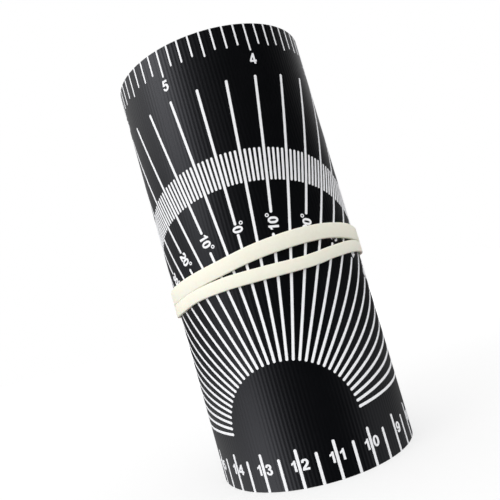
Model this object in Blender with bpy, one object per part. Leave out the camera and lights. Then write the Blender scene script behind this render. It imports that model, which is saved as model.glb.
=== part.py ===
# Flexible pipe diameter tape: a thin black ruler strip rolled up into an open
# tube, standing on its edge, with a flat rubber band wound twice round it.
# The strip is drawn flat with its raised print, then rolled from the outer end.

import math

import bmesh
import bpy
from mathutils import Matrix, Vector

# Units: metres and degrees.
INCH = 0.0254
CENTIMETRE = 0.01

# Strip
STRIP_LENGTH = 1.2192
STRIP_WIDTH = 0.122
STRIP_THICKNESS = 0.0009

# Roll: angles are seen from above, from +X towards +Y
OUTER_RADIUS = 0.0296
AIR_BETWEEN_TURNS = 0.00015
OUTER_END_ANGLE = 136.2
FACETS_PER_TURN = 40

# The axis of the roll: the origin is the middle of the overall box instead,
# which reaches further back, over the place where the rubber band crosses itself
ROLL_AXIS_X = -0.0003
ROLL_AXIS_Y = -0.0008

# Print
MARK_HEIGHT = 0.0001
MARK_ROOT = 0.0002
EDGE_MARGIN = 0.0001

INCH_PARTS = 8
INCH_TICK_LENGTH = 0.0078
HALF_INCH_TICK_LENGTH = 0.0071
PART_INCH_TICK_LENGTH = 0.0061
INCH_TICK_WIDTH = 0.0005

CM_TICK_LENGTH = 0.0102
HALF_CM_TICK_LENGTH = 0.0083
CM_TICK_WIDTH = 0.0008

# Protractor: a fan of rays over a blank half disc
FAN_DISTANCE = 0.1188
FAN_HEIGHT = 0.0141
FAN_INNER_RADIUS = 0.0184
FAN_TOP_MARGIN = 0.0148
FAN_HALF_WIDTH = 0.093
RAY_STEP = 5
LAST_RAY = 85
RAY_WIDTH = 0.0008
LABEL_STEP = 10
LABEL_GAP = (0.0515, 0.0568)
ZERO_LABEL_GAP = (0.0530, 0.0553)
DEGREE_BAND_INNER = 0.0657
DEGREE_BAND_OUTER = 0.0745
DEGREE_TICK_WIDTH = 0.0007

# Rubber band: angles are taken from the front (-Y) towards -X
BAND_WIDTH = 0.0043
BAND_THICKNESS = 0.001
BAND_STEPS_PER_TURN = 48
BAND_CLEARANCE = 0.0003
BAND_HEIGHT = 0.0573
BAND_TILT = 0.0022
BAND_TILT_ANGLE = -70.0
BAND_SIDE_GAP = 0.00015
WEDGE_OPENING = 0.0031
WEDGE_ANGLE = -22.0
WEDGE_HALF_SPAN = 50.0
NARROWING = 0.0008
NARROWING_HALF_SPAN = 75.0
CROSSING_HALF_SPAN = 50.0
CROSSING_RAMP = 28.0

# Sizes that follow from the ones above
TURN_PITCH = STRIP_THICKNESS + AIR_BETWEEN_TURNS
FULL_TURN = 2 * math.pi
FRONT_WOUND_ANGLE = math.radians(OUTER_END_ANGLE + 90)


def clear_scene():
    for item in list(bpy.data.objects):
        bpy.data.objects.remove(item, do_unlink=True)


def make_material(name, colour, roughness):
    material = bpy.data.materials.new(name)
    material.use_nodes = True
    shader = material.node_tree.nodes["Principled BSDF"]
    shader.inputs["Base Color"].default_value = (*colour, 1.0)
    shader.inputs["Roughness"].default_value = roughness
    shader.inputs["Metallic"].default_value = 0.0
    return material


def make_object(name, mesh, materials, height=0.0):
    """Mesh in its own material, standing on the roll's axis."""
    item = bpy.data.objects.new(name, mesh)
    item.location = (ROLL_AXIS_X, ROLL_AXIS_Y, height)
    for material in materials:
        mesh.materials.append(material)
    bpy.context.scene.collection.objects.link(item)
    return item


def mesh_from(bm, name):
    mesh = bpy.data.meshes.new(name)
    bm.to_mesh(mesh)
    bm.free()
    return mesh


# The roll is an even spiral: the wound angle grows from 0 at the outer end.

def spiral_radius(wound):
    return OUTER_RADIUS - TURN_PITCH * wound / FULL_TURN


def distance_at(wound):
    return OUTER_RADIUS * wound - TURN_PITCH * wound ** 2 / (2 * FULL_TURN)


def wound_at(distance):
    root = math.sqrt(OUTER_RADIUS ** 2 - 2 * TURN_PITCH * distance / FULL_TURN)
    return (OUTER_RADIUS - root) * FULL_TURN / TURN_PITCH


def roll_point(wound, radius, height):
    angle = math.radians(OUTER_END_ANGLE) - wound
    return Vector((radius * math.cos(angle), radius * math.sin(angle), height))


def rolled(flat):
    """Place of a point of the flat strip: x along it, -y out of its face, z across it."""
    step = FULL_TURN / FACETS_PER_TURN
    first = int(wound_at(flat.x) / step)
    start = distance_at(first * step)
    share = (flat.x - start) / (distance_at((first + 1) * step) - start)
    near = roll_point(first * step, spiral_radius(first * step) - flat.y, flat.z)
    far = roll_point((first + 1) * step, spiral_radius((first + 1) * step) - flat.y, flat.z)
    return near.lerp(far, share)


# Flat strip and its print

def add_block(bm, centre, size, turn=0.0):
    place = Matrix.Translation(centre) @ Matrix.Rotation(turn, 4, "Y")
    bmesh.ops.create_cube(bm, size=1.0, matrix=place @ Matrix.Diagonal((*size, 1.0)))


def add_mark(bm, start, end, width):
    """A raised line on the face, between two points given as (distance, height)."""
    run = end[0] - start[0]
    rise = end[1] - start[1]
    depth = MARK_HEIGHT + MARK_ROOT
    centre = ((start[0] + end[0]) / 2, depth / 2 - MARK_HEIGHT, (start[1] + end[1]) / 2)
    size = (width, depth, math.hypot(run, rise))
    add_block(bm, centre, size, math.atan2(run, rise))


def printed_length():
    """The print shows as far as the outer end laps over the strip."""
    return distance_at(FULL_TURN) - 2 * EDGE_MARGIN


def add_inch_scale(bm):
    top = STRIP_WIDTH - EDGE_MARGIN
    step = INCH / INCH_PARTS
    for index in range(1, int(printed_length() / step) + 1):
        length = PART_INCH_TICK_LENGTH
        if index % INCH_PARTS == 0:
            length = INCH_TICK_LENGTH
        elif index % (INCH_PARTS // 2) == 0:
            length = HALF_INCH_TICK_LENGTH
        distance = index * step
        add_mark(bm, (distance, STRIP_WIDTH - length), (distance, top), INCH_TICK_WIDTH)


def add_centimetre_scale(bm):
    step = CENTIMETRE / 2
    for index in range(1, int(printed_length() / step) + 1):
        length = CM_TICK_LENGTH if index % 2 == 0 else HALF_CM_TICK_LENGTH
        distance = index * step
        add_mark(bm, (distance, EDGE_MARGIN), (distance, length), CM_TICK_WIDTH)


def fan_point(degrees, radius):
    angle = math.radians(degrees)
    return (FAN_DISTANCE + radius * math.sin(angle), FAN_HEIGHT + radius * math.cos(angle))


def ray_end(degrees):
    """Rays stop at the straight top of the fan, at its sides, at the outer end or at the lap."""
    angle = math.radians(abs(degrees))
    reach = (STRIP_WIDTH - FAN_TOP_MARGIN - FAN_HEIGHT) / math.cos(angle)
    room = printed_length() - FAN_DISTANCE if degrees > 0 else FAN_DISTANCE - EDGE_MARGIN
    side = min(FAN_HALF_WIDTH, room)
    if angle > 0:
        reach = min(reach, side / math.sin(angle))
    return reach


def add_fan_line(bm, degrees, start, end, width):
    """One stretch of a ray, as far as the fan reaches there."""
    end = min(end, ray_end(degrees))
    if end > start:
        add_mark(bm, fan_point(degrees, start), fan_point(degrees, end), width)


def add_fan(bm):
    for degrees in range(-LAST_RAY, LAST_RAY + 1, RAY_STEP):
        stretches = [(FAN_INNER_RADIUS, ray_end(degrees))]
        if degrees % LABEL_STEP == 0:
            gap = LABEL_GAP if degrees else ZERO_LABEL_GAP
            stretches = [(FAN_INNER_RADIUS, gap[0]), (gap[1], ray_end(degrees))]
        for start, end in stretches:
            add_fan_line(bm, degrees, start, end, RAY_WIDTH)
    for degrees in range(-LAST_RAY, LAST_RAY + 1):
        if degrees % RAY_STEP != 0:
            add_fan_line(bm, degrees, DEGREE_BAND_INNER, DEGREE_BAND_OUTER, DEGREE_TICK_WIDTH)


def flat_strip_mesh():
    """The plain strip joined with every raised mark into one body."""
    plate = bmesh.new()
    centre = (STRIP_LENGTH / 2, STRIP_THICKNESS / 2, STRIP_WIDTH / 2)
    add_block(plate, centre, (STRIP_LENGTH, STRIP_THICKNESS, STRIP_WIDTH))
    marks = bmesh.new()
    add_inch_scale(marks)
    add_centimetre_scale(marks)
    add_fan(marks)
    base = make_object("flat_strip", mesh_from(plate, "flat_strip"), [])
    print_marks = make_object("flat_marks", mesh_from(marks, "flat_marks"), [])
    union = base.modifiers.new("join_print", "BOOLEAN")
    union.operation = "UNION"
    union.use_self = True
    union.object = print_marks
    depsgraph = bpy.context.evaluated_depsgraph_get()
    joined = bpy.data.meshes.new_from_object(base.evaluated_get(depsgraph))
    bpy.data.objects.remove(base, do_unlink=True)
    bpy.data.objects.remove(print_marks, do_unlink=True)
    return joined


def build_strip(black, white):
    bm = bmesh.new()
    bm.from_mesh(flat_strip_mesh())
    step = FULL_TURN / FACETS_PER_TURN
    for index in range(1, int(wound_at(STRIP_LENGTH) / step) + 1):
        everything = bm.verts[:] + bm.edges[:] + bm.faces[:]
        fold = (distance_at(index * step), 0, 0)
        bmesh.ops.bisect_plane(bm, geom=everything, dist=1e-7, plane_co=fold, plane_no=(1, 0, 0))
    for face in bm.faces:
        face.material_index = 1 if face.calc_center_median().y < -MARK_HEIGHT / 4 else 0
        face.smooth = False
    for vertex in bm.verts:
        vertex.co = rolled(vertex.co)
    # Rolling clockwise mirrors the flat strip, so its faces are turned round.
    bmesh.ops.reverse_faces(bm, faces=bm.faces)
    mesh = mesh_from(bm, "ruler_strip")
    make_object("ruler_strip", mesh, [black, white])


# Rubber band: one closed flat loop that goes round twice and crosses itself at the back

def bell(angle, centre, half_span):
    share = min(abs(angle - centre) / half_span, 1.0)
    return math.cos(share * math.pi / 2) ** 2


def smooth(share):
    share = min(max(share, 0.0), 1.0)
    return share * share * (3 - 2 * share)


def from_front(angle):
    """The same direction as an angle between -180 and 180 from the front."""
    return (angle + 180.0) % 360.0 - 180.0


def roll_radius(wound):
    """Outer radius of the roll, with the band's straight run off the lap."""
    wound = wound % FULL_TURN
    under = OUTER_RADIUS - TURN_PITCH
    run = math.acos(under / OUTER_RADIUS)
    bridge = wound - (FULL_TURN - run)
    if bridge > 0:
        return max(spiral_radius(wound), under / math.cos(bridge))
    return spiral_radius(wound)


def pass_side(angle):
    """1 on the upper pass, -1 on the lower one, changing over at the back."""
    half = math.radians(CROSSING_HALF_SPAN / 2)
    share = min(max(math.cos(math.radians(angle) / 2) / math.sin(half), -1.0), 1.0)
    return share * (3 - share * share) / 2


def band_width(angle):
    return BAND_WIDTH - NARROWING * bell(angle, 360.0, NARROWING_HALF_SPAN)


def band_height(angle):
    front = from_front(angle)
    tilt = BAND_TILT * math.cos(math.radians(front - BAND_TILT_ANGLE))
    spread = BAND_WIDTH + BAND_SIDE_GAP + WEDGE_OPENING * bell(front, WEDGE_ANGLE, WEDGE_HALF_SPAN)
    spread -= (BAND_WIDTH - band_width(front + 360.0)) / 2
    return tilt + pass_side(angle) * spread / 2


def band_lift(angle):
    """The lower pass climbs over the upper one where they cross."""
    away = abs(angle - 540.0)
    if away > 180.0:
        away = abs(angle + 180.0)
    share = (CROSSING_HALF_SPAN + CROSSING_RAMP - away) / CROSSING_RAMP
    return (BAND_THICKNESS + BAND_SIDE_GAP) * smooth(share)


def band_centre(angle):
    wound = FRONT_WOUND_ANGLE + math.radians(angle)
    radius = roll_radius(wound) + MARK_HEIGHT + BAND_CLEARANCE + band_lift(angle)
    return roll_point(wound, radius, band_height(angle))


def build_band(cream):
    bm = bmesh.new()
    count = 2 * BAND_STEPS_PER_TURN
    step = 720.0 / count
    rings = []
    for index in range(count):
        angle = index * step - 180.0
        here = band_centre(angle)
        along = (band_centre(angle + step / 4) - band_centre(angle - step / 4)).normalized()
        out = Vector((here.x, here.y, 0)).normalized()
        across = along.cross(out).normalized() * band_width(angle) / 2
        ring = []
        for side, lift in ((-1, 0), (1, 0), (1, BAND_THICKNESS), (-1, BAND_THICKNESS)):
            ring.append(bm.verts.new(here + side * across + lift * out))
        rings.append(ring)
    for index in range(count):
        this, following = rings[index], rings[(index + 1) % count]
        for corner in range(4):
            beside = (corner + 1) % 4
            bm.faces.new((this[corner], this[beside], following[beside], following[corner]))
    bmesh.ops.recalc_face_normals(bm, faces=bm.faces)
    mesh = mesh_from(bm, "rubber_band")
    mesh.shade_smooth()
    mesh.set_sharp_from_angle(angle=math.radians(30))
    make_object("rubber_band", mesh, [cream], height=BAND_HEIGHT)


clear_scene()
black_sheet = make_material("black_ribbed_sheet", (0.014, 0.015, 0.017), 0.45)
white_print = make_material("white_print", (0.85, 0.86, 0.87), 0.5)
cream_rubber = make_material("cream_rubber", (0.86, 0.84, 0.72), 0.6)
build_strip(black_sheet, white_print)
build_band(cream_rubber)
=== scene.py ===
# Rolled pipe diameter tape on a white floor: black ribbed sheet with white print, held by a rubber band
import math

import bmesh
import bpy
from mathutils import Matrix, Vector


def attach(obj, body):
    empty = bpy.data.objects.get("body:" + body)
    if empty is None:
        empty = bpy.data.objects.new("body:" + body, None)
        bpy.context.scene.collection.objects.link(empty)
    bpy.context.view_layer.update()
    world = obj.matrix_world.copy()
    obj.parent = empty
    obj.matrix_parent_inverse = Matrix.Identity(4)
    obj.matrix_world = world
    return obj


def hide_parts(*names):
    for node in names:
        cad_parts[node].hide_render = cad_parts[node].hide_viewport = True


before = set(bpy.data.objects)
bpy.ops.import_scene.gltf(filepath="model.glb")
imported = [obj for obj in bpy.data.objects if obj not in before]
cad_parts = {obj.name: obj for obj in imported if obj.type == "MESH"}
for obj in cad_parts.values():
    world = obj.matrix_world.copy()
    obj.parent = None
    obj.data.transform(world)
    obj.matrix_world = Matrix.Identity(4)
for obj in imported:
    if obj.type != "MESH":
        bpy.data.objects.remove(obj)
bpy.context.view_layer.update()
scene = bpy.context.scene
mm = 0.001
fullTurn = 2 * math.pi
weldDistance = 0.0005 * mm  # corners closer than this become one

# How the strip is wound. Flat, x runs along it from the outer end, y into the roll, z up.
roll = {
    "axisX": -0.3 * mm,
    "axisY": -0.8 * mm,
    "outerRadius": 29.6 * mm,
    "turnPitch": 1.05 * mm,  # sheet 0.9 and air 0.15
    "outerEndAngle": 136.2,  # degrees from +X towards +Y
    "stripLength": 1219.2 * mm,
    "stripWidth": 122 * mm,
    "stripThickness": 0.9 * mm,
}
printEnd = 182.4 * mm  # the outer end laps over the print here


def addNode(tree, kind, inputs=None, **settings):
    # inputs: socket name or number, with a value, an output or another node
    node = tree.nodes.new(kind)
    for name, value in settings.items():
        setattr(node, name, value)
    for name, value in (inputs or {}).items():
        if isinstance(value, bpy.types.Node):
            value = value.outputs[0]
        if isinstance(value, bpy.types.NodeSocket):
            tree.links.new(value, node.inputs[name])
        else:
            node.inputs[name].default_value = value
    return node


def newTree(name, sizes):
    # a geometry tree with a named input for each size
    tree = bpy.data.node_groups.new(name, "GeometryNodeTree")
    tree.interface.new_socket("Geometry", in_out="INPUT", socket_type="NodeSocketGeometry")
    tree.interface.new_socket("Geometry", in_out="OUTPUT", socket_type="NodeSocketGeometry")
    for label, kind in sizes.items():
        tree.interface.new_socket(label, in_out="INPUT", socket_type="NodeSocket" + kind)
    return tree, tree.nodes.new("NodeGroupInput")


def treeResult(name, tree, values, start=None):
    # runs a tree on a piece's first mesh and keeps the result as a plain mesh
    piece = bpy.data.objects.new(name, start or bpy.data.meshes.new(name))
    scene.collection.objects.link(piece)
    modifier = piece.modifiers.new(tree.name, "NODES")
    modifier.node_group = tree
    for item in tree.interface.items_tree:
        if item.in_out == "INPUT" and item.name in values:
            modifier[item.identifier] = values[item.name]
    bpy.context.view_layer.update()
    evaluated = piece.evaluated_get(bpy.context.evaluated_depsgraph_get())
    mesh = bpy.data.meshes.new_from_object(evaluated)
    piece.modifiers.clear()
    piece.data = mesh
    return piece


def newPiece(name, bm, material=None):
    # an object of its own from the drawn mesh
    mesh = bpy.data.meshes.new(name)
    bm.to_mesh(mesh)
    bm.free()
    if material:
        mesh.materials.append(material)
    piece = bpy.data.objects.new(name, mesh)
    scene.collection.objects.link(piece)
    return piece


def turnOutwards(mesh):
    bm = bmesh.new()
    bm.from_mesh(mesh)
    bmesh.ops.remove_doubles(bm, verts=bm.verts, dist=weldDistance)
    bmesh.ops.recalc_face_normals(bm, faces=bm.faces)
    bm.to_mesh(mesh)
    bm.free()


def linearColour(code):
    # sRGB hex to linear RGBA
    parts = [int(code[i:i + 2], 16) / 255 for i in (1, 3, 5)]
    return tuple(c / 12.92 if c <= 0.04045 else ((c + 0.055) / 1.055) ** 2.4 for c in parts) + (1.0,)


def makeRollUp():
    # winds flat geometry onto the spiral
    sizes = {"Outer Radius": "Float", "Turn Pitch": "Float", "Outer End Angle": "Float", "Axis": "Vector"}
    tree, given = newTree("rollUp", sizes)
    place = addNode(tree, "GeometryNodeInputPosition")
    flat = addNode(tree, "ShaderNodeSeparateXYZ", {0: place})
    radius = given.outputs["Outer Radius"]
    pitch = given.outputs["Turn Pitch"]
    squared = addNode(tree, "ShaderNodeMath", {0: radius, 1: radius}, operation="MULTIPLY")
    wrap = addNode(tree, "ShaderNodeMath", {0: flat.outputs["X"], 1: pitch}, operation="MULTIPLY")
    loss = addNode(tree, "ShaderNodeMath", {0: wrap, 1: math.pi}, operation="DIVIDE")
    rest = addNode(tree, "ShaderNodeMath", {0: squared, 1: loss}, operation="SUBTRACT")
    root = addNode(tree, "ShaderNodeMath", {0: rest}, operation="SQRT")
    drop = addNode(tree, "ShaderNodeMath", {0: radius, 1: root}, operation="SUBTRACT")
    turns = addNode(tree, "ShaderNodeMath", {0: drop, 1: pitch}, operation="DIVIDE")
    wound = addNode(tree, "ShaderNodeMath", {0: turns, 1: fullTurn}, operation="MULTIPLY")
    angle = addNode(
        tree, "ShaderNodeMath", {0: given.outputs["Outer End Angle"], 1: wound}, operation="SUBTRACT")
    reach = addNode(tree, "ShaderNodeMath", {0: root, 1: flat.outputs["Y"]}, operation="SUBTRACT")
    cosine = addNode(tree, "ShaderNodeMath", {0: angle}, operation="COSINE")
    sine = addNode(tree, "ShaderNodeMath", {0: angle}, operation="SINE")
    x = addNode(tree, "ShaderNodeMath", {0: reach, 1: cosine}, operation="MULTIPLY")
    y = addNode(tree, "ShaderNodeMath", {0: reach, 1: sine}, operation="MULTIPLY")
    ring = addNode(tree, "ShaderNodeCombineXYZ", {0: x, 1: y, 2: flat.outputs["Z"]})
    moved = addNode(tree, "ShaderNodeVectorMath", {0: ring, 1: given.outputs["Axis"]}, operation="ADD")
    rolled = addNode(
        tree, "GeometryNodeSetPosition", {"Geometry": given.outputs["Geometry"], "Position": moved})
    addNode(tree, "NodeGroupOutput", {0: rolled})
    return tree


rollUp = makeRollUp()


def addRollUp(tree, geometry):
    # the same winding inside another tree
    sizes = {
        "Geometry": geometry,
        "Outer Radius": roll["outerRadius"],
        "Turn Pitch": roll["turnPitch"],
        "Outer End Angle": math.radians(roll["outerEndAngle"]),
        "Axis": (roll["axisX"], roll["axisY"], 0),
    }
    group = tree.nodes.new("GeometryNodeGroup")
    group.node_tree = rollUp
    for name, value in sizes.items():
        if name == "Geometry":
            tree.links.new(value.outputs[0], group.inputs[name])
        else:
            group.inputs[name].default_value = value
    return group


# Calendered black elastomer sheet: the ribbed roll leaves a satin skin with a faint grain
sheetFinish = {
    "patches": (6 * mm, 3.0),  # cloudy differences of the pressed skin: size and detail
    "tones": ("#040507", "#08090c"),
    "grain": (0.35 * mm, 2.0),  # coarser than the real 0.1 mm so that it shows
    "roughness": (0.26, 0.36),
    "bump": (0.25, 0.02 * mm),  # strength and depth
    "sockets": {"Specular Tint": linearColour("#f4f5ff")},
}
# Screen-printed white ink: laid on thick, nearly matt, slightly uneven where it crosses the ribs
inkFinish = {
    "patches": (0.8 * mm, 3.0),
    "tones": ("#e9eaee", "#fbfbfc"),
    "grain": (0.8 * mm, 3.0),
    "roughness": (0.48, 0.6),
    "bump": (0.2, 0.02 * mm),
    "sockets": {},
}
# Natural rubber sliced from an extruded tube: cream, dusted with talc, soft sheen
rubberFinish = {
    "patches": (0.6 * mm, 4.0),
    "tones": ("#eeebda", "#f5f3e5"),
    "grain": (0.6 * mm, 4.0),
    "roughness": (0.5, 0.68),
    "bump": (0.3, 0.03 * mm),
    "sockets": {"Subsurface Weight": 0.15, "Subsurface Scale": 0.6 * mm},
}


def makeFinish(name, finish):
    # patches of two tones, and a grain that varies the gloss and lifts the surface
    material = bpy.data.materials.new(name)
    material.use_nodes = True
    tree = material.node_tree
    shader = tree.nodes["Principled BSDF"]
    place = addNode(tree, "ShaderNodeTexCoord").outputs["Object"]
    size, detail = finish["patches"]
    patches = addNode(tree, "ShaderNodeTexNoise", {"Vector": place, "Scale": 1 / size, "Detail": detail})
    dark, light = (linearColour(tone) for tone in finish["tones"])
    tint = addNode(
        tree, "ShaderNodeMix", {"Factor": patches.outputs[0], 6: dark, 7: light}, data_type="RGBA")
    tree.links.new(tint.outputs[2], shader.inputs["Base Color"])
    size, detail = finish["grain"]
    grain = addNode(tree, "ShaderNodeTexNoise", {"Vector": place, "Scale": 1 / size, "Detail": detail})
    low, high = finish["roughness"]
    rough = addNode(tree, "ShaderNodeMapRange", {0: grain.outputs[0], 3: low, 4: high})
    tree.links.new(rough.outputs[0], shader.inputs["Roughness"])
    strength, depth = finish["bump"]
    bump = addNode(
        tree, "ShaderNodeBump", {"Height": grain.outputs[0], "Strength": strength, "Distance": depth})
    tree.links.new(bump.outputs[0], shader.inputs["Normal"])
    for socket, value in finish["sockets"].items():
        shader.inputs[socket].default_value = value
    return material


calenderedSheet = makeFinish("calendered_black_sheet", sheetFinish)
screenInk = makeFinish("screen_printed_white_ink", inkFinish)
cutRubber = makeFinish("cut_natural_rubber", rubberFinish)
print("materials made")


# Camera: close below the middle, turned with the tape leaning in the picture
view = {
    "distance": 162.32 * mm,  # in front of the roll's axis
    "side": 3.71 * mm,
    "height": 48.95 * mm,  # above the floor
    "pitch": 3.5540,  # degrees
    "yaw": -5.4547,
    "roll": -15.7822,
    "lens": 37.205,
    "sensor": 36,
    "shiftX": 0.0466,
    "shiftY": 0.0527,
}


def makeCamera():
    pitch, yaw, lean = (math.radians(view[name]) for name in ("pitch", "yaw", "roll"))
    ahead = Vector((math.sin(yaw) * math.cos(pitch), math.cos(yaw) * math.cos(pitch), math.sin(pitch)))
    level = Vector((math.cos(yaw), -math.sin(yaw), 0))
    above = level.cross(ahead)
    right = math.cos(lean) * level + math.sin(lean) * above
    up = math.cos(lean) * above - math.sin(lean) * level
    lens = bpy.data.cameras.new("camera")
    lens.sensor_width = view["sensor"]
    lens.lens = view["lens"]
    lens.shift_x = view["shiftX"]
    lens.shift_y = view["shiftY"]
    lens.clip_start = mm
    camera = bpy.data.objects.new("camera", lens)
    scene.collection.objects.link(camera)
    place = Matrix((right, up, -ahead)).transposed().to_4x4()
    place.translation = (
        roll["axisX"] + view["side"], roll["axisY"] - view["distance"], view["height"])
    camera.matrix_world = place
    scene.camera = camera


makeCamera()


# White floor and studio: a softbox on the left, a weak low lamp on the right, a dark room in front
studio = {
    "floorSize": 3.0,
    "floorParts": 8,
    "floorLift": 0.64,  # share of the floor's white that needs no light
    "floorTone": "#959595",
    "fadeFrom": 0.12,  # metres from the object, where the floor goes over into the backdrop
    "fadeTo": 0.6,
    "ambient": 1.17,
    # what the sheet mirrors: degrees from the front towards the left, and brightness
    "above": [(-180, 0.9), (-154, 1.1), (-138, 0.5), (-121, 0.2), (-105, 0.1), (-87, 0.0), (-17, 0.03),
              (0, 0.2), (17, 0.28), (33, 0.8), (47, 2.5), (58, 3.2), (70, 3.4), (82, 1.4), (90, 1.15),
              (105, 1.15), (121, 0.8), (138, 0.6), (154, 0.7), (180, 0.9)],
    "below": [(-180, 0.25), (-154, 0.2), (-121, 0.25), (-105, 0.28), (-87, 0.46), (-70, 0.48), (-58, 0.2),
              (-45, 0.02), (0, 0.03), (17, 0.18), (35, 0.75), (48, 2.1), (58, 2.0), (70, 1.45), (87, 1.0),
              (105, 0.75), (121, 0.58), (138, 0.4), (154, 0.3), (180, 0.25)],
    # sine of the elevation, where the lower ring ends, the upper one begins and is at full strength
    "belowFull": -0.26,
    "aboveStart": -0.03,
    "aboveFull": 0.6,
    "aboveShare": 0.06,
}
lamps = {
    # place, aim, width, height in metres, power in watts and spread in degrees
    "key": ((-0.75, -0.6, 0.35), (0, 0, 0.06), 0.5, 0.5, 3.5, 180),
    "low_fill": ((0.36, -0.4, 0.02), (0, 0, 0.01), 0.25, 0.03, 0.008, 16),
}


def makeFloor():
    # matt white paper, which looks white to the camera also where little light falls
    parts = studio["floorParts"]
    bm = bmesh.new()
    bmesh.ops.create_grid(bm, x_segments=parts, y_segments=parts, size=studio["floorSize"] / 2)
    material = bpy.data.materials.new("white_paper_sweep")
    floor = newPiece("floor", bm, material)
    material.use_nodes = True
    tree = material.node_tree
    tree.nodes.clear()
    seen = addNode(tree, "ShaderNodeLightPath")
    either = addNode(
        tree, "ShaderNodeMath",
        {0: seen.outputs["Is Camera Ray"], 1: seen.outputs["Is Transmission Ray"]}, operation="MAXIMUM")
    place = addNode(tree, "ShaderNodeTexCoord").outputs["Object"]
    away = addNode(tree, "ShaderNodeVectorMath", {0: place}, operation="LENGTH")
    level = addNode(tree, "ShaderNodeMapRange", {
        0: away.outputs["Value"], 1: studio["fadeFrom"], 2: studio["fadeTo"],
        3: studio["floorLift"], 4: 1.0}, interpolation_type="SMOOTHSTEP")
    lift = addNode(tree, "ShaderNodeMath", {0: either, 1: level}, operation="MULTIPLY")
    glow = addNode(tree, "ShaderNodeEmission", {"Strength": lift})
    paper = addNode(tree, "ShaderNodeBsdfDiffuse", {"Color": linearColour(studio["floorTone"])})
    both = addNode(tree, "ShaderNodeAddShader", {0: glow, 1: paper})
    addNode(tree, "ShaderNodeOutputMaterial", {"Surface": both})
    floor.visible_glossy = False  # the world holds what the sheet mirrors


def makeWorld():
    world = bpy.data.worlds.new("studio")
    scene.world = world
    world.use_nodes = True
    tree = world.node_tree
    tree.nodes.clear()
    way = addNode(tree, "ShaderNodeTexCoord").outputs["Generated"]
    parts = addNode(tree, "ShaderNodeSeparateXYZ", {0: way})
    leftward = addNode(tree, "ShaderNodeMath", {0: parts.outputs["X"], 1: -1.0}, operation="MULTIPLY")
    forward = addNode(tree, "ShaderNodeMath", {0: parts.outputs["Y"], 1: -1.0}, operation="MULTIPLY")
    angle = addNode(tree, "ShaderNodeMath", {0: leftward, 1: forward}, operation="ARCTAN2")
    share = addNode(
        tree, "ShaderNodeMapRange", {0: angle, 1: -math.pi, 2: math.pi, 3: 0.0, 4: 1.0})
    rings = []
    for levels in (studio["above"], studio["below"]):
        ramp = addNode(tree, "ShaderNodeValToRGB", {0: share})
        stops = ramp.color_ramp.elements
        brightest = max(level for _, level in levels)
        for index, (degrees, level) in enumerate(levels):
            spot = (degrees + 180) / 360
            stop = stops[0] if index == 0 else stops.new(spot)
            stop.position = spot
            stop.color = (level / brightest, level / brightest, level / brightest, 1)
        stops.remove(stops[-1])
        rings.append(addNode(tree, "ShaderNodeMath", {0: ramp, 1: brightest}, operation="MULTIPLY"))
    height = addNode(tree, "ShaderNodeMapRange", {
        0: parts.outputs["Z"], 1: studio["aboveStart"], 2: studio["aboveFull"],
        3: studio["aboveShare"], 4: 1.0})
    upper = addNode(tree, "ShaderNodeMath", {0: rings[0], 1: height}, operation="MULTIPLY")
    depth = addNode(
        tree, "ShaderNodeMapRange",
        {0: parts.outputs["Z"], 1: studio["aboveStart"], 2: studio["belowFull"], 3: 0.0, 4: 1.0},
        interpolation_type="SMOOTHSTEP")
    mirrored = addNode(tree, "ShaderNodeMix", {0: depth, 2: upper, 3: rings[1]}, data_type="FLOAT")
    seen = addNode(tree, "ShaderNodeLightPath")
    either = addNode(
        tree, "ShaderNodeMath",
        {0: seen.outputs["Is Camera Ray"], 1: seen.outputs["Is Transmission Ray"]}, operation="MAXIMUM")
    lit = addNode(tree, "ShaderNodeMix", {
        0: seen.outputs["Is Glossy Ray"], 2: studio["ambient"], 3: mirrored}, data_type="FLOAT")
    strength = addNode(tree, "ShaderNodeMix", {0: either, 2: lit, 3: 1.0}, data_type="FLOAT")
    sky = addNode(tree, "ShaderNodeBackground", {"Color": (1, 1, 1, 1), "Strength": strength})
    addNode(tree, "ShaderNodeOutputWorld", {"Surface": sky})


def makeLamps():
    for name, (place, aim, width, height, power, spread) in lamps.items():
        light = bpy.data.lights.new(name, "AREA")
        light.shape = "RECTANGLE"
        light.size = width
        light.size_y = height
        light.energy = power
        light.spread = math.radians(spread)
        lamp = bpy.data.objects.new(name, light)
        scene.collection.objects.link(lamp)
        lamp.location = place
        lamp.visible_glossy = False  # the world holds what the sheet mirrors
        lamp.rotation_euler = (Vector(aim) - Vector(place)).to_track_quat("-Z", "Y").to_euler()


scene.view_settings.view_transform = "Standard"
makeFloor()
makeWorld()
makeLamps()
print("camera, floor and light made")


# Strip: one ribbed sheet, drawn flat and wound up by its tree
strip = {
    "Length": roll["stripLength"],
    "Width": roll["stripWidth"],
    "Thickness": roll["stripThickness"],
    "Edge Round": 0.12 * mm,
    "Rib Pitch": 1.05 * mm,
    "Rib Depth": 0.038 * mm,
    "Columns": 6968,  # six to a rib
    "Material": calenderedSheet,
}


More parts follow.
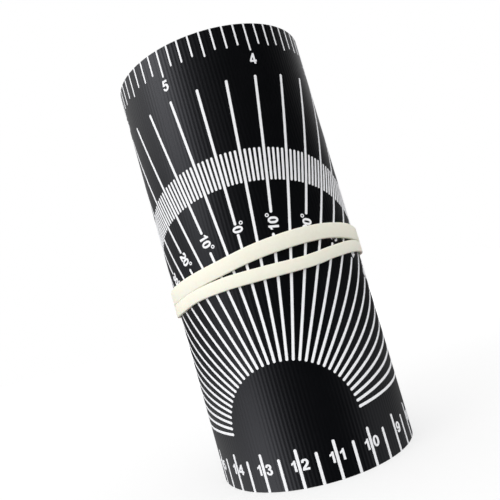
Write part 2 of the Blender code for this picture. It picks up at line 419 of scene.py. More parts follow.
def makeStripTree():
    tree, given = newTree("ribbedStrip", {
        "Length": "Float", "Width": "Float", "Thickness": "Float", "Edge Round": "Float",
        "Rib Pitch": "Float", "Rib Depth": "Float", "Columns": "Int", "Material": "Material"})
    end = addNode(tree, "ShaderNodeCombineXYZ", {0: given.outputs["Length"]})
    line = addNode(tree, "GeometryNodeCurvePrimitiveLine", {"End": end})
    along = addNode(tree, "GeometryNodeResampleCurve", {0: line, "Count": given.outputs["Columns"]})
    section = addNode(
        tree, "GeometryNodeCurvePrimitiveQuadrilateral",
        {0: given.outputs["Thickness"], 1: given.outputs["Width"]})
    rounded = addNode(
        tree, "GeometryNodeFilletCurve", {0: section, "Count": 1, "Radius": given.outputs["Edge Round"]},
        mode="POLY")
    sheet = addNode(tree, "GeometryNodeCurveToMesh", {0: along, 1: rounded, "Fill Caps": True})
    place = addNode(tree, "GeometryNodeInputPosition")
    flat = addNode(tree, "ShaderNodeSeparateXYZ", {0: place})
    # ribs pressed into the outer face as shallow waves along the strip
    share = addNode(
        tree, "ShaderNodeMath", {0: flat.outputs["X"], 1: given.outputs["Rib Pitch"]}, operation="DIVIDE")
    phase = addNode(tree, "ShaderNodeMath", {0: share, 1: fullTurn}, operation="MULTIPLY")
    wave = addNode(tree, "ShaderNodeMath", {0: phase}, operation="COSINE")
    # 0 on a rib, 1 in the groove between two
    sunk = addNode(tree, "ShaderNodeMath", {0: wave, 1: 0.5, 2: 0.5}, operation="MULTIPLY_ADD")
    groove = addNode(
        tree, "ShaderNodeMath", {0: sunk, 1: given.outputs["Rib Depth"]}, operation="MULTIPLY")
    outer = addNode(tree, "ShaderNodeMath", {0: flat.outputs["Y"], 1: 0.0}, operation="LESS_THAN")
    pressed = addNode(tree, "ShaderNodeMath", {0: groove, 1: outer}, operation="MULTIPLY")
    halfDepth = addNode(
        tree, "ShaderNodeMath", {0: given.outputs["Thickness"], 1: 0.5}, operation="MULTIPLY")
    halfWidth = addNode(tree, "ShaderNodeMath", {0: given.outputs["Width"], 1: 0.5}, operation="MULTIPLY")
    depth = addNode(tree, "ShaderNodeMath", {0: halfDepth, 1: pressed}, operation="ADD")
    shift = addNode(tree, "ShaderNodeCombineXYZ", {1: depth, 2: halfWidth})
    ribbed = addNode(tree, "GeometryNodeSetPosition", {0: sheet, "Offset": shift})
    wound = addRollUp(tree, ribbed)
    smooth = addNode(tree, "GeometryNodeSetShadeSmooth", {0: wound, "Shade Smooth": True})
    solid = addNode(tree, "GeometryNodeRealizeInstances", {0: smooth})
    painted = addNode(
        tree, "GeometryNodeSetMaterial", {0: solid, "Material": given.outputs["Material"]})
    addNode(tree, "NodeGroupOutput", {0: painted})
    return tree


sharpFrom = math.radians(35)  # the ribs stay smooth, the strip's edges sharp
blackStrip = treeResult("black_strip", makeStripTree(), strip)
turnOutwards(blackStrip.data)
blackStrip.data.set_sharp_from_angle(angle=sharpFrom)
print("strip wound:", len(blackStrip.data.polygons), "faces")


# Print: raised ink lines, each a flat bar with a rounded end
ink = {
    "lift": 0.05 * mm,  # above the sheet's face
    "root": 0.08 * mm,  # sunk below the ribs' grooves
    "shoulder": 0.12,  # share of the half width
    "shoulderLift": 0.6,  # share of the lift
    "capSteps": 5,
    "capStart": 0.35,  # share of a step, from the end's tip to its first row
    "barSteps": 44,
}


def makeBarTemplate(name, roundStart):
    # a bar 1 wide and without length: its "along" attribute says how a tree stretches it
    capStart, capSteps = ink["capStart"], ink["capSteps"]
    turns = [math.pi / 2 * (step + capStart) / (capSteps + capStart) for step in range(capSteps)]
    columns = []
    if roundStart:
        columns += [(-0.5 * math.cos(turn), 0.5 * math.sin(turn), 0.0) for turn in turns]
    columns += [(0.0, 0.5, step / ink["barSteps"]) for step in range(ink["barSteps"] + 1)]
    columns += [(0.5 * math.cos(turn), 0.5 * math.sin(turn), 1.0) for turn in reversed(turns)]
    bm = bmesh.new()
    along = bm.verts.layers.float.new("along")
    low, high = -ink["shoulderLift"] * ink["lift"], -ink["lift"]
    rows = []
    for ahead, half, share in columns:
        inner = half - 0.5 * ink["shoulder"]
        row = []
        for x, y in ((-half, ink["root"]), (-half, low), (-inner, high),
                     (inner, high), (half, low), (half, ink["root"])):
            vertex = bm.verts.new((x, y, ahead))
            vertex[along] = share
            row.append(vertex)
        rows.append(row)
    for this, following in zip(rows, rows[1:]):
        for i in range(len(this)):
            j = (i + 1) % len(this)
            bm.faces.new((this[i], this[j], following[j], following[i]))
    bm.faces.new(rows[0])
    bm.faces.new(list(reversed(rows[-1])))
    bmesh.ops.recalc_face_normals(bm, faces=bm.faces)
    return newPiece(name, bm)


roundBar = makeBarTemplate("roundBar", True)
edgeBar = makeBarTemplate("edgeBar", False)


def addBars(tree, points, turn, length, width, given):
    # stands a bar on each point, turned about y, stretches it, winds it up and paints it
    template = addNode(tree, "GeometryNodeObjectInfo", {"Object": given.outputs["Bar"]})
    turned = addNode(tree, "ShaderNodeCombineXYZ", {1: turn})
    scale = addNode(tree, "ShaderNodeCombineXYZ", {0: width, 1: 1.0, 2: width})
    for label, value in (("turn", turn), ("reach", length)):
        points = addNode(
            tree, "GeometryNodeStoreNamedAttribute", {0: points, "Name": label, "Value": value},
            data_type="FLOAT", domain="POINT")
    bars = addNode(
        tree, "GeometryNodeInstanceOnPoints",
        {0: points, "Instance": template.outputs["Geometry"], "Rotation": turned, "Scale": scale})
    solid = addNode(tree, "GeometryNodeRealizeInstances", {0: bars})
    along = addNode(tree, "GeometryNodeInputNamedAttribute", {"Name": "along"}, data_type="FLOAT")
    reach = addNode(tree, "GeometryNodeInputNamedAttribute", {"Name": "reach"}, data_type="FLOAT")
    lean = addNode(tree, "GeometryNodeInputNamedAttribute", {"Name": "turn"}, data_type="FLOAT")
    travel = addNode(tree, "ShaderNodeMath", {0: along, 1: reach}, operation="MULTIPLY")
    sine = addNode(tree, "ShaderNodeMath", {0: lean}, operation="SINE")
    cosine = addNode(tree, "ShaderNodeMath", {0: lean}, operation="COSINE")
    x = addNode(tree, "ShaderNodeMath", {0: travel, 1: sine}, operation="MULTIPLY")
    z = addNode(tree, "ShaderNodeMath", {0: travel, 1: cosine}, operation="MULTIPLY")
    offset = addNode(tree, "ShaderNodeCombineXYZ", {0: x, 2: z})
    stretched = addNode(tree, "GeometryNodeSetPosition", {0: solid, "Offset": offset})
    wound = addRollUp(tree, stretched)
    painted = addNode(
        tree, "GeometryNodeSetMaterial", {0: wound, "Material": given.outputs["Material"]})
    addNode(tree, "NodeGroupOutput", {0: painted})


# Scale ticks: longest at whole units, shorter at halves and quarters, shortest between
tickSizes = {
    "Count": "Int", "Step": "Float", "Whole Every": "Int", "Half Every": "Int", "Quarter Every": "Int",
    "Whole Length": "Float", "Half Length": "Float", "Quarter Length": "Float", "Part Length": "Float",
    "Line Width": "Float", "Edge Height": "Float", "Turn": "Float", "Bar": "Object", "Material": "Material"}


def makeTickTree():
    tree, given = newTree("scaleTicks", tickSizes)
    start = addNode(tree, "ShaderNodeCombineXYZ", {
        0: given.outputs["Step"], 2: given.outputs["Edge Height"]})
    step = addNode(tree, "ShaderNodeCombineXYZ", {0: given.outputs["Step"]})
    line = addNode(tree, "GeometryNodeMeshLine", {
        "Count": given.outputs["Count"], "Start Location": start, "Offset": step})
    index = addNode(tree, "GeometryNodeInputIndex")
    number = addNode(tree, "ShaderNodeMath", {0: index, 1: 1.0}, operation="ADD")
    # the longest length that fits the tick's number
    length = given.outputs["Part Length"]
    for size in ("Quarter", "Half", "Whole"):
        every = given.outputs[size + " Every"]
        past = addNode(tree, "ShaderNodeMath", {0: number, 1: every}, operation="FLOORED_MODULO")
        fits = addNode(tree, "ShaderNodeMath", {0: past, 1: 0.5}, operation="LESS_THAN")
        length = addNode(tree, "GeometryNodeSwitch", {
            "Switch": fits, "False": length, "True": given.outputs[size + " Length"]}, input_type="FLOAT")
    half = addNode(tree, "ShaderNodeMath", {0: given.outputs["Line Width"], 1: 0.5}, operation="MULTIPLY")
    straight = addNode(tree, "ShaderNodeMath", {0: length, 1: half}, operation="SUBTRACT")
    addBars(tree, line, given.outputs["Turn"], straight, given.outputs["Line Width"], given)
    return tree


inch = 25.4 * mm
centimetre = 10 * mm
edgeInset = 0.06 * mm  # the lines start past the sheet's rounded edge
inchTicks = {
    "Count": int(printEnd / (inch / 8)),
    "Step": inch / 8,
    "Whole Every": 8,
    "Half Every": 4,
    "Quarter Every": 2,
    "Whole Length": 7.85 * mm,
    "Half Length": 7.15 * mm,
    "Quarter Length": 6.4 * mm,
    "Part Length": 6.05 * mm,
    "Line Width": 0.48 * mm,
    "Edge Height": roll["stripWidth"] - edgeInset,
    "Turn": math.pi,  # hangs down from the top edge
    "Bar": edgeBar,
    "Material": screenInk,
}
centimetreTicks = {
    "Count": int(printEnd / (centimetre / 2)),
    "Step": centimetre / 2,
    "Whole Every": 2,
    "Half Every": 1,  # this scale stops at halves
    "Quarter Every": 1,
    "Whole Length": 10.15 * mm,
    "Half Length": 8.35 * mm,
    "Quarter Length": 8.35 * mm,
    "Part Length": 8.35 * mm,
    "Line Width": 0.8 * mm,
    "Edge Height": edgeInset,
    "Turn": 0.0,
    "Bar": edgeBar,
    "Material": screenInk,
}
tickTree = makeTickTree()
inchScale = treeResult("inch_scale", tickTree, inchTicks)
centimetreScale = treeResult("centimetre_scale", tickTree, centimetreTicks)
print("scales printed")


# Protractor fan: rays every 5 degrees, with 1 degree ticks in a band across them
fan = {
    "distance": 118.8 * mm,  # along the strip
    "height": 14.1 * mm,
    "top": 107.2 * mm,
    "halfWidth": 93 * mm,
    "innerRadius": 18.4 * mm,
    "labelGap": (51.5 * mm, 56.8 * mm),
    "zeroGap": (53.0 * mm, 55.3 * mm),
    "tickBand": (65.6 * mm, 74.5 * mm),
    "rayWidth": 0.74 * mm,
    "tickWidth": 0.65 * mm,
}
farAway = 200 * mm  # past every edge of the fan
noSkip = 1000  # more rays than any row has
raySizes = {
    "Count": "Int", "First Angle": "Float", "Step Angle": "Float", "Skip Every": "Int",
    "Inner Radius": "Float", "Outer Radius": "Float", "Centre Distance": "Float",
    "Centre Height": "Float", "Top": "Float", "Left Room": "Float", "Right Room": "Float",
    "Line Width": "Float", "Bar": "Object", "Material": "Material"}


def makeRayTree():
    tree, given = newTree("fanRays", raySizes)
    line = addNode(tree, "GeometryNodeMeshLine", {"Count": given.outputs["Count"], "Offset": (0, 0, 0)})
    index = addNode(tree, "GeometryNodeInputIndex")
    turned = addNode(
        tree, "ShaderNodeMath", {0: index, 1: given.outputs["Step Angle"]}, operation="MULTIPLY")
    angle = addNode(
        tree, "ShaderNodeMath", {0: turned, 1: given.outputs["First Angle"]}, operation="ADD")
    sine = addNode(tree, "ShaderNodeMath", {0: angle}, operation="SINE")
    cosine = addNode(tree, "ShaderNodeMath", {0: angle}, operation="COSINE")
    # how far the fan reaches this way: to its straight top, to its sides or to the given radius
    rise = addNode(
        tree, "ShaderNodeMath", {0: given.outputs["Top"], 1: given.outputs["Centre Height"]},
        operation="SUBTRACT")
    toTop = addNode(tree, "ShaderNodeMath", {0: rise, 1: cosine}, operation="DIVIDE")
    isLeft = addNode(tree, "ShaderNodeMath", {0: sine, 1: 0.0}, operation="GREATER_THAN")
    room = addNode(tree, "GeometryNodeSwitch", {
        "Switch": isLeft, "False": given.outputs["Right Room"], "True": given.outputs["Left Room"]},
        input_type="FLOAT")
    sideways = addNode(tree, "ShaderNodeMath", {0: sine}, operation="ABSOLUTE")
    # an upright ray never meets a side, and nothing is divided by 0
    openSine = addNode(tree, "ShaderNodeMath", {0: sideways, 1: 0.001}, operation="MAXIMUM")
    toSide = addNode(tree, "ShaderNodeMath", {0: room, 1: openSine}, operation="DIVIDE")
    nearest = addNode(tree, "ShaderNodeMath", {0: toTop, 1: toSide}, operation="MINIMUM")
    outer = addNode(
        tree, "ShaderNodeMath", {0: nearest, 1: given.outputs["Outer Radius"]}, operation="MINIMUM")
    half = addNode(tree, "ShaderNodeMath", {0: given.outputs["Line Width"], 1: 0.5}, operation="MULTIPLY")
    start = addNode(
        tree, "ShaderNodeMath", {0: given.outputs["Inner Radius"], 1: half}, operation="ADD")
    stop = addNode(tree, "ShaderNodeMath", {0: outer, 1: half}, operation="SUBTRACT")
    length = addNode(tree, "ShaderNodeMath", {0: stop, 1: start}, operation="SUBTRACT")
    x = addNode(tree, "ShaderNodeMath", {
        0: start, 1: sine, 2: given.outputs["Centre Distance"]}, operation="MULTIPLY_ADD")
    z = addNode(tree, "ShaderNodeMath", {
        0: start, 1: cosine, 2: given.outputs["Centre Height"]}, operation="MULTIPLY_ADD")
    place = addNode(tree, "ShaderNodeCombineXYZ", {0: x, 2: z})
    spots = addNode(tree, "GeometryNodeSetPosition", {0: line, "Position": place})
    for label, value in (("angle", angle), ("room", length)):
        spots = addNode(
            tree, "GeometryNodeStoreNamedAttribute", {0: spots, "Name": label, "Value": value},
            data_type="FLOAT", domain="POINT")
    # rays that belong to another row, or that have no length, are left out
    number = addNode(tree, "ShaderNodeMath", {0: index, 1: 1.0}, operation="ADD")
    onRow = addNode(
        tree, "ShaderNodeMath", {0: number, 1: given.outputs["Skip Every"]}, operation="FLOORED_MODULO")
    isSkipped = addNode(tree, "ShaderNodeMath", {0: onRow, 1: 0.5}, operation="LESS_THAN")
    angleBack = addNode(tree, "GeometryNodeInputNamedAttribute", {"Name": "angle"}, data_type="FLOAT")
    roomBack = addNode(tree, "GeometryNodeInputNamedAttribute", {"Name": "room"}, data_type="FLOAT")
    isShort = addNode(tree, "ShaderNodeMath", {0: roomBack, 1: 0.0}, operation="LESS_THAN")
    unwanted = addNode(tree, "ShaderNodeMath", {0: isSkipped, 1: isShort}, operation="MAXIMUM")
    kept = addNode(
        tree, "GeometryNodeDeleteGeometry", {0: spots, "Selection": unwanted}, domain="POINT")
    addBars(tree, kept, angleBack, roomBack, given.outputs["Line Width"], given)
    return tree


def fanRow(count, first, step, skip, inner, outer, width):
    return {
        "Count": count,
        "First Angle": math.radians(first),
        "Step Angle": math.radians(step),
        "Skip Every": skip,
        "Inner Radius": inner,
        "Outer Radius": outer,
        "Centre Distance": fan["distance"],
        "Centre Height": fan["height"],
        "Top": fan["top"],
        "Left Room": min(fan["halfWidth"], printEnd - fan["distance"]),
        "Right Room": fan["halfWidth"],
        "Line Width": width,
        "Bar": roundBar,
        "Material": screenInk,
    }


def joined(name, pieces):
    # the rows of rays become one piece
    bm = bmesh.new()
    for piece in pieces:
        bm.from_mesh(piece.data)
        bpy.data.objects.remove(piece)
    return newPiece(name, bm, screenInk)


rayTree = makeRayTree()
inner, gap, zeroGap, width = fan["innerRadius"], fan["labelGap"], fan["zeroGap"], fan["rayWidth"]
# number of rays, first angle, step, which ones are left out, inner and outer radius, line width
rayRows = {
    "plain": fanRow(18, -85, 10, noSkip, inner, farAway, width),
    "right_inner": fanRow(8, -80, 10, noSkip, inner, gap[0], width),
    "left_inner": fanRow(8, 10, 10, noSkip, inner, gap[0], width),
    "zero_inner": fanRow(1, 0, 10, noSkip, inner, zeroGap[0], width),
    "right_outer": fanRow(8, -80, 10, noSkip, gap[1], farAway, width),
    "left_outer": fanRow(8, 10, 10, noSkip, gap[1], farAway, width),
    "zero_outer": fanRow(1, 0, 10, noSkip, zeroGap[1], farAway, width),
}
rayPieces = [treeResult(name, rayTree, sizes) for name, sizes in rayRows.items()]
protractorRays = joined("protractor_rays", rayPieces)
tickRow = fanRow(169, -84, 1, 5, fan["tickBand"][0], fan["tickBand"][1], fan["tickWidth"])
degreeTicks = treeResult("degree_ticks", rayTree, tickRow)
print("protractor printed")


# Digits: bold plain numerals, each outline on a grid 100 high; "s" marks a smooth point
gridHeight = 100
digitMiddle = (33, 50)
digitOutlines = {
    "0": [[(33, 100, "s"), (56, 87, "s"), (65, 50, "s"), (56, 13, "s"), (33, 0, "s"), (10, 13, "s"),
           (1, 50, "s"), (10, 87, "s")],
          [(33, 84, "s"), (42, 74, "s"), (45.5, 50, "s"), (42, 26, "s"), (33, 16, "s"), (24, 26, "s"),
           (20.5, 50, "s"), (24, 74, "s")]],
    "1": [[(47, 0), (47, 100), (33, 100), (25, 87, "s"), (9, 77), (9, 61), (19, 66, "s"), (28, 73),
           (28, 0)]],
    "2": [[(2, 0), (65, 0), (65, 17.5), (30, 17.5), (44, 32, "s"), (60, 50, "s"), (65, 71, "s"),
           (56, 92, "s"), (34, 100, "s"), (11, 93, "s"), (3, 70), (22, 68), (25.5, 79.5, "s"),
           (34, 84, "s"), (43, 80, "s"), (45.5, 71, "s"), (41, 58, "s"), (22, 38, "s"), (6, 19, "s")]],
    "3": [[(2, 28), (11, 7, "s"), (32, -1, "s"), (56, 8, "s"), (65, 29, "s"), (60, 45, "s"), (47, 53),
           (57, 61, "s"), (62, 74, "s"), (54, 92, "s"), (32, 100, "s"), (12, 93, "s"), (3.5, 73),
           (21.5, 70.5), (24.5, 80.5, "s"), (32, 84.5, "s"), (40, 81.5, "s"), (43, 73.5, "s"),
           (38, 63.5, "s"), (25, 60), (27, 45.5), (40, 42.5, "s"), (45.5, 30, "s"), (41.5, 19, "s"),
           (32, 14.5, "s"), (24, 18, "s"), (20.5, 30.5)]],
    "4": [[(40, 0), (40, 20), (0, 20), (0, 36.5), (42, 100), (58, 100), (58, 36.5), (70, 36.5),
           (70, 20), (58, 20), (58, 0)],
          [(40, 36.5), (40, 70.5), (17, 36.5)]],
    "5": [[(2, 26), (11, 7, "s"), (32, -1, "s"), (58, 11, "s"), (66, 33, "s"), (57, 57, "s"),
           (36, 65.5, "s"), (24, 62.5), (27, 81.5), (61, 81.5), (61, 99), (13, 99), (4, 49),
           (20, 46.5), (32, 51, "s"), (42.5, 46.5, "s"), (46.5, 33.5, "s"), (42, 19.5, "s"),
           (32, 14.5, "s"), (24.5, 18, "s"), (20.5, 28)]],
    "6": [[(45, 72), (63, 74), (54, 93, "s"), (35, 100, "s"), (10, 87, "s"), (1.5, 49, "s"),
           (10, 12, "s"), (34, -1, "s"), (57, 8, "s"), (65, 32, "s"), (57, 56, "s"), (37, 65, "s"),
           (20, 56), (24.5, 77, "s"), (34.5, 84.5, "s"), (42, 81.5, "s")],
          [(34, 50.5, "s"), (43, 46, "s"), (46, 32, "s"), (43, 19, "s"), (35, 14, "s"), (25, 19, "s"),
           (21.5, 33, "s"), (25.5, 46, "s")]],
    "7": [[(3, 81.5), (3, 99), (66, 99), (66, 85), (49, 60, "s"), (40, 30, "s"), (37, 0), (18, 0),
           (22, 30, "s"), (31, 59, "s"), (44, 81.5)]],
    "8": [[(33, 100, "s"), (54, 93, "s"), (62, 75, "s"), (57, 61, "s"), (50, 54), (60, 45, "s"),
           (65, 29, "s"), (57, 8, "s"), (33, -1, "s"), (9, 8, "s"), (1, 29, "s"), (6, 45, "s"),
           (16, 54), (9, 61, "s"), (4, 75, "s"), (12, 93, "s")],
          [(33, 85.5, "s"), (41, 82, "s"), (44, 73.5, "s"), (41, 64.5, "s"), (33, 61.5, "s"),
           (25, 64.5, "s"), (22, 73.5, "s"), (25, 82, "s")],
          [(33, 46.5, "s"), (43, 42, "s"), (46.5, 30, "s"), (43, 18.5, "s"), (33, 14, "s"),
           (23, 18.5, "s"), (19.5, 30, "s"), (23, 42, "s")]],
}
# a nine is a six turned round
digitOutlines["9"] = [[(66 - p[0], 99 - p[1], *p[2:]) for p in loop] for loop in digitOutlines["6"]]

numerals = {
    # height, stretch of the width, and thickening of the strokes on each side
    "inchSize": (2.95 * mm, 0.92, 0.03 * mm),
    "centimetreSize": (2.8 * mm, 1.06, 0.03 * mm),
    "degreeSize": (2.7 * mm, 1.0, 0.05 * mm),
    "inchMiddle": 111.8 * mm,  # above the bottom edge
    "inchSide": 0.1 * mm,
    "centimetreMiddle": 6.0 * mm,
    "firstOfTwo": 1.17 * mm,  # to the left of its tick
    "secondOfTwo": -1.62 * mm,
    "alone": -1.8 * mm,
    "ringSize": (0.52 * mm, 0.25 * mm),  # outer radius and its hole
    "ringRise": (1.45 * mm, 1.2 * mm),  # from the ray towards the digits' tops, left and right
    # first digit, second digit and ring along the ray, on its left half and on its right half
    "leftPlaces": (55.65 * mm, 53.83 * mm, 52.44 * mm),
    "rightPlaces": (53.04 * mm, 54.87 * mm, 56.25 * mm),
    "rightShift": -0.3 * mm,  # the right labels stand a little beside their ray
    "zeroRing": (117.25 * mm, 69.7 * mm),
    "zeroMiddle": (118.5 * mm, 68.2 * mm),
    "curveSteps": 5,
    "ringPoints": 8,
    "weld": 0.001 * mm,
}


def glyphMesh(loops, size):
    # filled flat outline as a thin slab, its middle at 0
    height, stretch, thickening = size
    scale = height / gridHeight
    curve = bpy.data.curves.new("glyph", "CURVE")
    curve.dimensions = "2D"
    curve.fill_mode = "BOTH"
    curve.resolution_u = numerals["curveSteps"]
    curve.extrude = (ink["lift"] + ink["root"]) / 2
    curve.offset = thickening
    for index, loop in enumerate(loops):
        # a hole runs the other way round, so that the thickening narrows it
        spots = loop if index == 0 else list(reversed(loop))
        spline = curve.splines.new("BEZIER")
        spline.bezier_points.add(len(spots) - 1)
        spline.use_cyclic_u = True
        for point, spot in zip(spline.bezier_points, spots):
            kind = "AUTO" if len(spot) > 2 else "VECTOR"
            point.handle_left_type = kind
            point.handle_right_type = kind
            x = (spot[0] - digitMiddle[0]) * scale * stretch
            point.co = (x, (spot[1] - digitMiddle[1]) * scale, 0)
    item = bpy.data.objects.new("glyph", curve)
    scene.collection.objects.link(item)
    bpy.context.view_layer.update()
    mesh = bpy.data.meshes.new_from_object(item.evaluated_get(bpy.context.evaluated_depsgraph_get()))
    bpy.data.objects.remove(item)
    return mesh


def ringLoops():
    # on the digits' grid, with a millimetre as its height
    loops = []
    count = numerals["ringPoints"]
    for radius in numerals["ringSize"]:
        reach = radius / mm * gridHeight
        spots = []
        for step in range(count):
            turn = -fullTurn * step / count
            spots.append((
                digitMiddle[0] + reach * math.cos(turn), digitMiddle[1] + reach * math.sin(turn), "s"))
        loops.append(spots)
    return loops


glyphs = {}


def glyph(name, size):
    if (name, size) not in glyphs:
        loops = ringLoops() if name == "ring" else digitOutlines[name]
        glyphs[name, size] = glyphMesh(loops, size)
    return glyphs[name, size]


def printGlyph(bm, name, size, distance, middle, turn=0.0):
    # seen from outside, distance grows to the left; turn is anticlockwise there, in radians
    mesh = glyph(name, size).copy()
    half = (ink["root"] - ink["lift"]) / 2
    for vertex in mesh.vertices:
        x, y, z = vertex.co
        across = x * math.cos(turn) - y * math.sin(turn)
        rise = x * math.sin(turn) + y * math.cos(turn)
        vertex.co = (distance - across, half - z, middle + rise)
    bm.from_mesh(mesh)
    bpy.data.meshes.remove(mesh)


def printNumber(bm, number, tick):
    size, middle = numerals["centimetreSize"], numerals["centimetreMiddle"]
    if number < 10:
        printGlyph(bm, str(number), size, tick + numerals["alone"], middle)
    else:
        printGlyph(bm, str(number)[0], size, tick + numerals["firstOfTwo"], middle)
        printGlyph(bm, str(number)[1], size, tick + numerals["secondOfTwo"], middle)


def printRing(bm, distance, middle):
    printGlyph(bm, "ring", (mm, 1.0, 0.0), distance, middle)


def fanSpot(degrees, radius, rise=0.0):
    # rise is towards larger distances, square to the ray
    angle = math.radians(degrees)
    x = fan["distance"] + radius * math.sin(angle) + rise * math.cos(angle)
    return x, fan["height"] + radius * math.cos(angle) - rise * math.sin(angle)


def printDegrees(bm, degrees):
    # left of the middle the labels read down their ray, right of it they read up
    left = degrees > 0
    places = numerals["leftPlaces"] if left else numerals["rightPlaces"]
    beside = 0.0 if left else numerals["rightShift"]
    turn = math.radians(degrees) + (-math.pi / 2 if left else math.pi / 2)
    rise = -numerals["ringRise"][0] if left else numerals["ringRise"][1]
    for name, place in zip(str(abs(degrees)), places[:2]):
        spot = fanSpot(degrees, place, beside)
        printGlyph(bm, name, numerals["degreeSize"], spot[0], spot[1], turn)
    spot = fanSpot(degrees, places[2], rise)
    printRing(bm, spot[0], spot[1])


def makeDigits():
    bm = bmesh.new()
    for number in range(1, int(printEnd / inch) + 1):
        spot = number * inch + numerals["inchSide"]
        printGlyph(bm, str(number), numerals["inchSize"], spot, numerals["inchMiddle"])
    for number in range(1, int(printEnd / centimetre) + 1):
        printNumber(bm, number, number * centimetre)
    for degrees in range(10, 90, 10):
        printDegrees(bm, degrees)
        printDegrees(bm, -degrees)
    spot = numerals["zeroMiddle"]
    printGlyph(bm, "0", numerals["degreeSize"], spot[0], spot[1], math.pi / 2)
    spot = numerals["zeroRing"]
    printRing(bm, spot[0], spot[1])
    bmesh.ops.remove_doubles(bm, verts=bm.verts, dist=numerals["weld"])
    mesh = bpy.data.meshes.new("scale_digits")
    bm.to_mesh(mesh)
    bm.free()
    return mesh


def makeWindOn():
    tree, given = newTree("windOn", {"Material": "Material"})
    wound = addRollUp(tree, given)
    painted = addNode(
        tree, "GeometryNodeSetMaterial", {0: wound, "Material": given.outputs["Material"]})
    addNode(tree, "NodeGroupOutput", {0: painted})
    return tree


scaleDigits = treeResult("scale_digits", makeWindOn(), {"Material": screenInk}, makeDigits())
printPieces = (inchScale, centimetreScale, protractorRays, degreeTicks, scaleDigits)
for piece in printPieces:
    turnOutwards(piece.data)
for template in (roundBar, edgeBar):
    bpy.data.objects.remove(template)
print("digits printed")


# Rubber band: one flat loop that goes round twice and crosses itself at the back
band = {
    "thickness": 1.0 * mm,
    "clearance": 0.1 * mm,
    "rounding": 0.28 * mm,
    "roundingSteps": 3,
    "ringsPerTurn": 180,
    "crossingHalf": 50.0,  # degrees from the back, within which the two passes change places
    "crossingRamp": 28.0,  # degrees over which the outer run climbs
    "crossingAir": 0.05 * mm,
    # angle from the front towards the left, then middle and width of the upper and the lower pass, in mm
    "passes": [
        (-180, 58.6, 4.2, 54.4, 4.0),
        (-120, 58.9, 4.3, 54.95, 3.6),
        (-90, 59.6, 4.2, 55.75, 3.3),
        (-75, 59.95, 4.4, 56.1, 3.25),
        (-60, 61.0, 4.5, 56.6, 3.45),
        (-40, 62.1, 4.2, 56.1, 3.35),
        (-30, 62.22, 4.25, 55.52, 3.4),
        (-20, 62.15, 4.3, 55.27, 3.35),
        (0, 61.37, 4.21, 55.42, 3.52),
        (20, 59.85, 4.15, 55.48, 3.55),
        (40, 58.5, 4.3, 54.7, 3.3),
        (60, 57.17, 4.5, 53.1, 3.6),
        (80, 56.33, 4.45, 52.3, 3.6),
        (120, 56.1, 4.3, 52.1, 3.7),
        (180, 58.6, 4.2, 54.4, 4.0),
    ],
}
loopStart = -180.0  # the back, in degrees
loopTurn = 720.0


def passValue(angle, column):
    # smooth curve through the listed heights and widths
    rows = band["passes"]
    angle = (angle + 180.0) % 360.0 - 180.0
    index = max(i for i in range(len(rows) - 1) if rows[i][0] <= angle)
    last = len(rows) - 1
    here, following = rows[index], rows[index + 1]
    before = rows[index - 1] if index > 0 else (rows[-2][0] - 360, *rows[-2][1:])
    after = rows[index + 2] if index + 2 <= last else (rows[1][0] + 360, *rows[1][1:])
    span = following[0] - here[0]
    slopeIn = (following[column] - before[column]) / (following[0] - before[0]) * span
    slopeOut = (after[column] - here[column]) / (after[0] - here[0]) * span
    t = (angle - here[0]) / span
    value = (2 * t ** 3 - 3 * t ** 2 + 1) * here[column] + (t ** 3 - 2 * t ** 2 + t) * slopeIn
    return (value + (3 * t ** 2 - 2 * t ** 3) * following[column] + (t ** 3 - t ** 2) * slopeOut) * mm


def passSide(angle):
    # 1 on the upper pass, -1 on the lower one
    half = math.radians(band["crossingHalf"] / 2)
    share = min(max(math.cos(math.radians(angle) / 2) / math.sin(half), -1.0), 1.0)
    return share * (3 - share * share) / 2


def bandLift(angle):
    # where they cross, the run from the lower to the upper pass lies on top
    away = min(abs(angle - loopStart), abs(angle - loopStart - loopTurn))
    share = (band["crossingHalf"] + band["crossingRamp"] - away) / band["crossingRamp"]
    share = min(max(share, 0.0), 1.0)
    return (band["thickness"] + band["crossingAir"]) * share * share * (3 - 2 * share)


def rollRadius(wound):
    # outer radius of the roll, with the band's straight run off the lap
    wound = wound % fullTurn
    radius = roll["outerRadius"] - roll["turnPitch"] * wound / fullTurn
    under = roll["outerRadius"] - roll["turnPitch"]
    bridge = wound - (fullTurn - math.acos(under / roll["outerRadius"]))
    if bridge > 0:
        radius = max(radius, under / math.cos(bridge))
    return radius


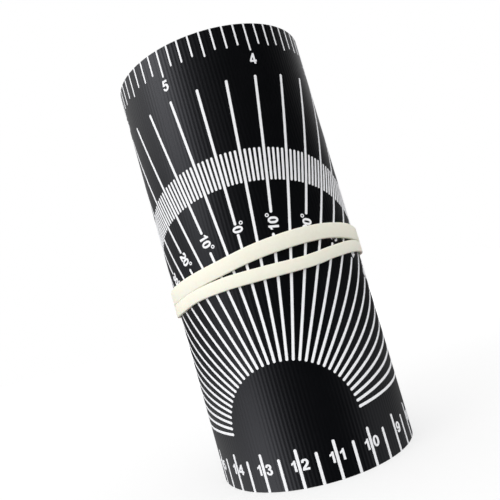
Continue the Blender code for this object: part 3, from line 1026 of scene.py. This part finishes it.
def bandSpot(angle):
    side = (1 + passSide(angle)) / 2
    height = passValue(angle, 3) * (1 - side) + passValue(angle, 1) * side
    # from the outer end round to the front, which is at -90 degrees, and on
    wound = math.radians(roll["outerEndAngle"] + 90 + angle)
    radius = rollRadius(wound) + ink["lift"] + band["clearance"] + bandLift(angle)
    turn = math.radians(roll["outerEndAngle"]) - wound
    return Vector((
        roll["axisX"] + radius * math.cos(turn), roll["axisY"] + radius * math.sin(turn), height))


def bandSection(width):
    # rounded rectangle: across the band, and out from the roll
    corner = band["rounding"]
    spots = []
    for x, y, first in ((width / 2, band["thickness"], 0), (-width / 2, band["thickness"], 90),
                        (-width / 2, 0, 180), (width / 2, 0, 270)):
        centreX = x - math.copysign(corner, x)
        centreY = corner if y == 0 else y - corner
        for step in range(band["roundingSteps"] + 1):
            turn = math.radians(first + 90 * step / band["roundingSteps"])
            spots.append((centreX + corner * math.cos(turn), centreY + corner * math.sin(turn)))
    return spots


def makeBand():
    bm = bmesh.new()
    count = 2 * band["ringsPerTurn"]
    step = loopTurn / count
    rings = []
    for index in range(count):
        angle = loopStart + index * step
        here = bandSpot(angle)
        along = (bandSpot(angle + step / 2) - bandSpot(angle - step / 2)).normalized()
        out = Vector((here.x - roll["axisX"], here.y - roll["axisY"], 0)).normalized()
        up = along.cross(out).normalized()
        side = (1 + passSide(angle)) / 2
        width = passValue(angle, 4) * (1 - side) + passValue(angle, 2) * side
        rings.append([bm.verts.new(here + x * up + y * out) for x, y in bandSection(width)])
    size = len(rings[0])
    for index in range(count):
        this, following = rings[index], rings[(index + 1) % count]
        for i in range(size):
            j = (i + 1) % size
            bm.faces.new((this[i], this[j], following[j], following[i]))
    bmesh.ops.recalc_face_normals(bm, faces=bm.faces)
    loop = newPiece("rubber_loop", bm, cutRubber)
    loop.data.shade_smooth()
    return loop


rubberLoop = makeBand()
print("rubber band made")


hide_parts("ruler_strip")
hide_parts("rubber_band")
for piece in (blackStrip, *printPieces, rubberLoop):
    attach(piece, "root")
